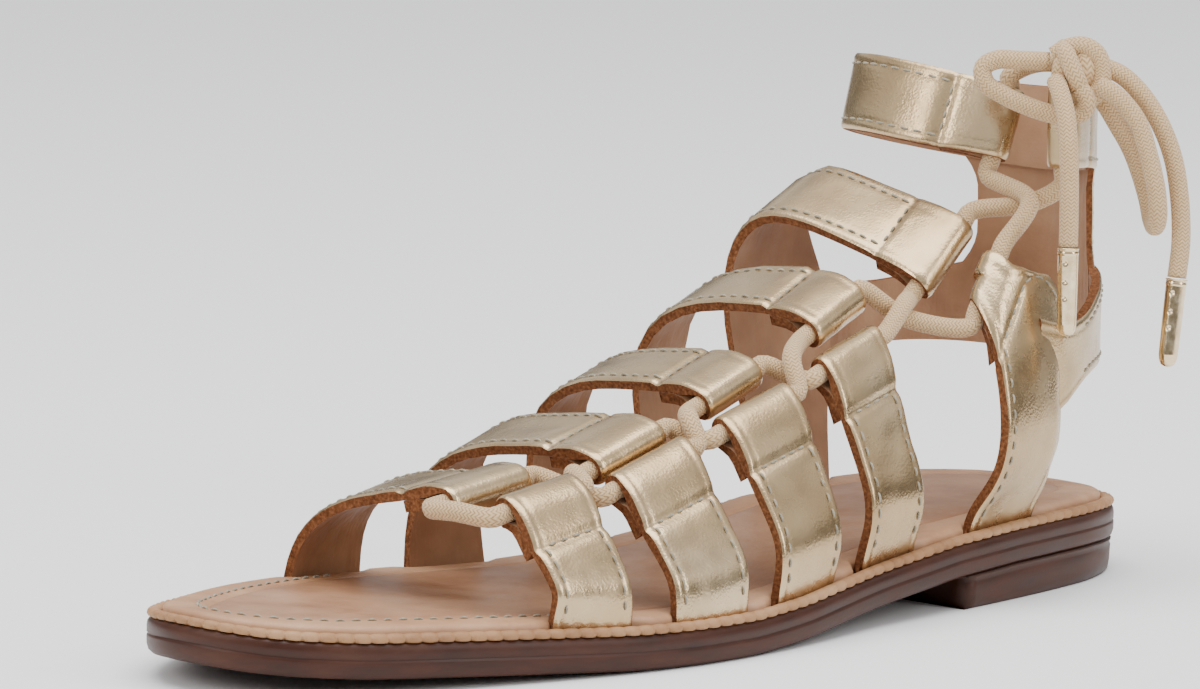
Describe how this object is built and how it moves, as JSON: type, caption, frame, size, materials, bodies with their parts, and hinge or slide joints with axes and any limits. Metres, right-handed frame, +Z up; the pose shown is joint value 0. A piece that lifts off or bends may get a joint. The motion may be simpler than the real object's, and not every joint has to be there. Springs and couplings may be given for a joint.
{
  "type": "gladiator sandal",
  "caption": "Flat left gladiator sandal: metallic strap pairs laced up the instep, open heel cuff with an ankle strap, thick dark sole.",
  "frame": {"origin": "on the floor, at the middle of the box round the sandal without its bow", "axes": "+Z up from the floor, -Y towards the toe, +X towards the outer (lateral) side of the left foot"},
  "size_m": [0.0881, 0.2472, 0.1097],
  "materials": {
    "strap_leather": "metallic",
    "lace": "braided",
    "lace_tip": "polished",
    "footbed_leather": "satin",
    "welt_strip": "matte",
    "sole_rubber": "satin"
  },
  "bodies": {
    "root": {"outsole": "sole_rubber", "heel": "sole_rubber", "welt": "welt_strip", "insole": "footbed_leather", "strap_lateral_1": "strap_leather", "strap_medial_1": "strap_leather", "strap_lateral_2": "strap_leather", "strap_medial_2": "strap_leather", "strap_lateral_3": "strap_leather", "strap_medial_3": "strap_leather", "strap_lateral_4": "strap_leather", "strap_medial_4": "strap_leather", "heel_cuff": "strap_leather", "lace_bar": "lace", "lace_crossing_1": "lace", "lace_crossing_2": "lace", "lace_crossing_3": "lace", "lace_crossing_4": "lace", "lace_crossing_5": "lace", "lace_knot": "lace", "lace_tie": "lace", "lace_loop_front": "lace", "lace_loop_side": "lace", "lace_end_front": "lace", "lace_end_side": "lace", "aglet_front": "lace_tip", "aglet_side": "lace_tip"}
  },
  "joints": []
}
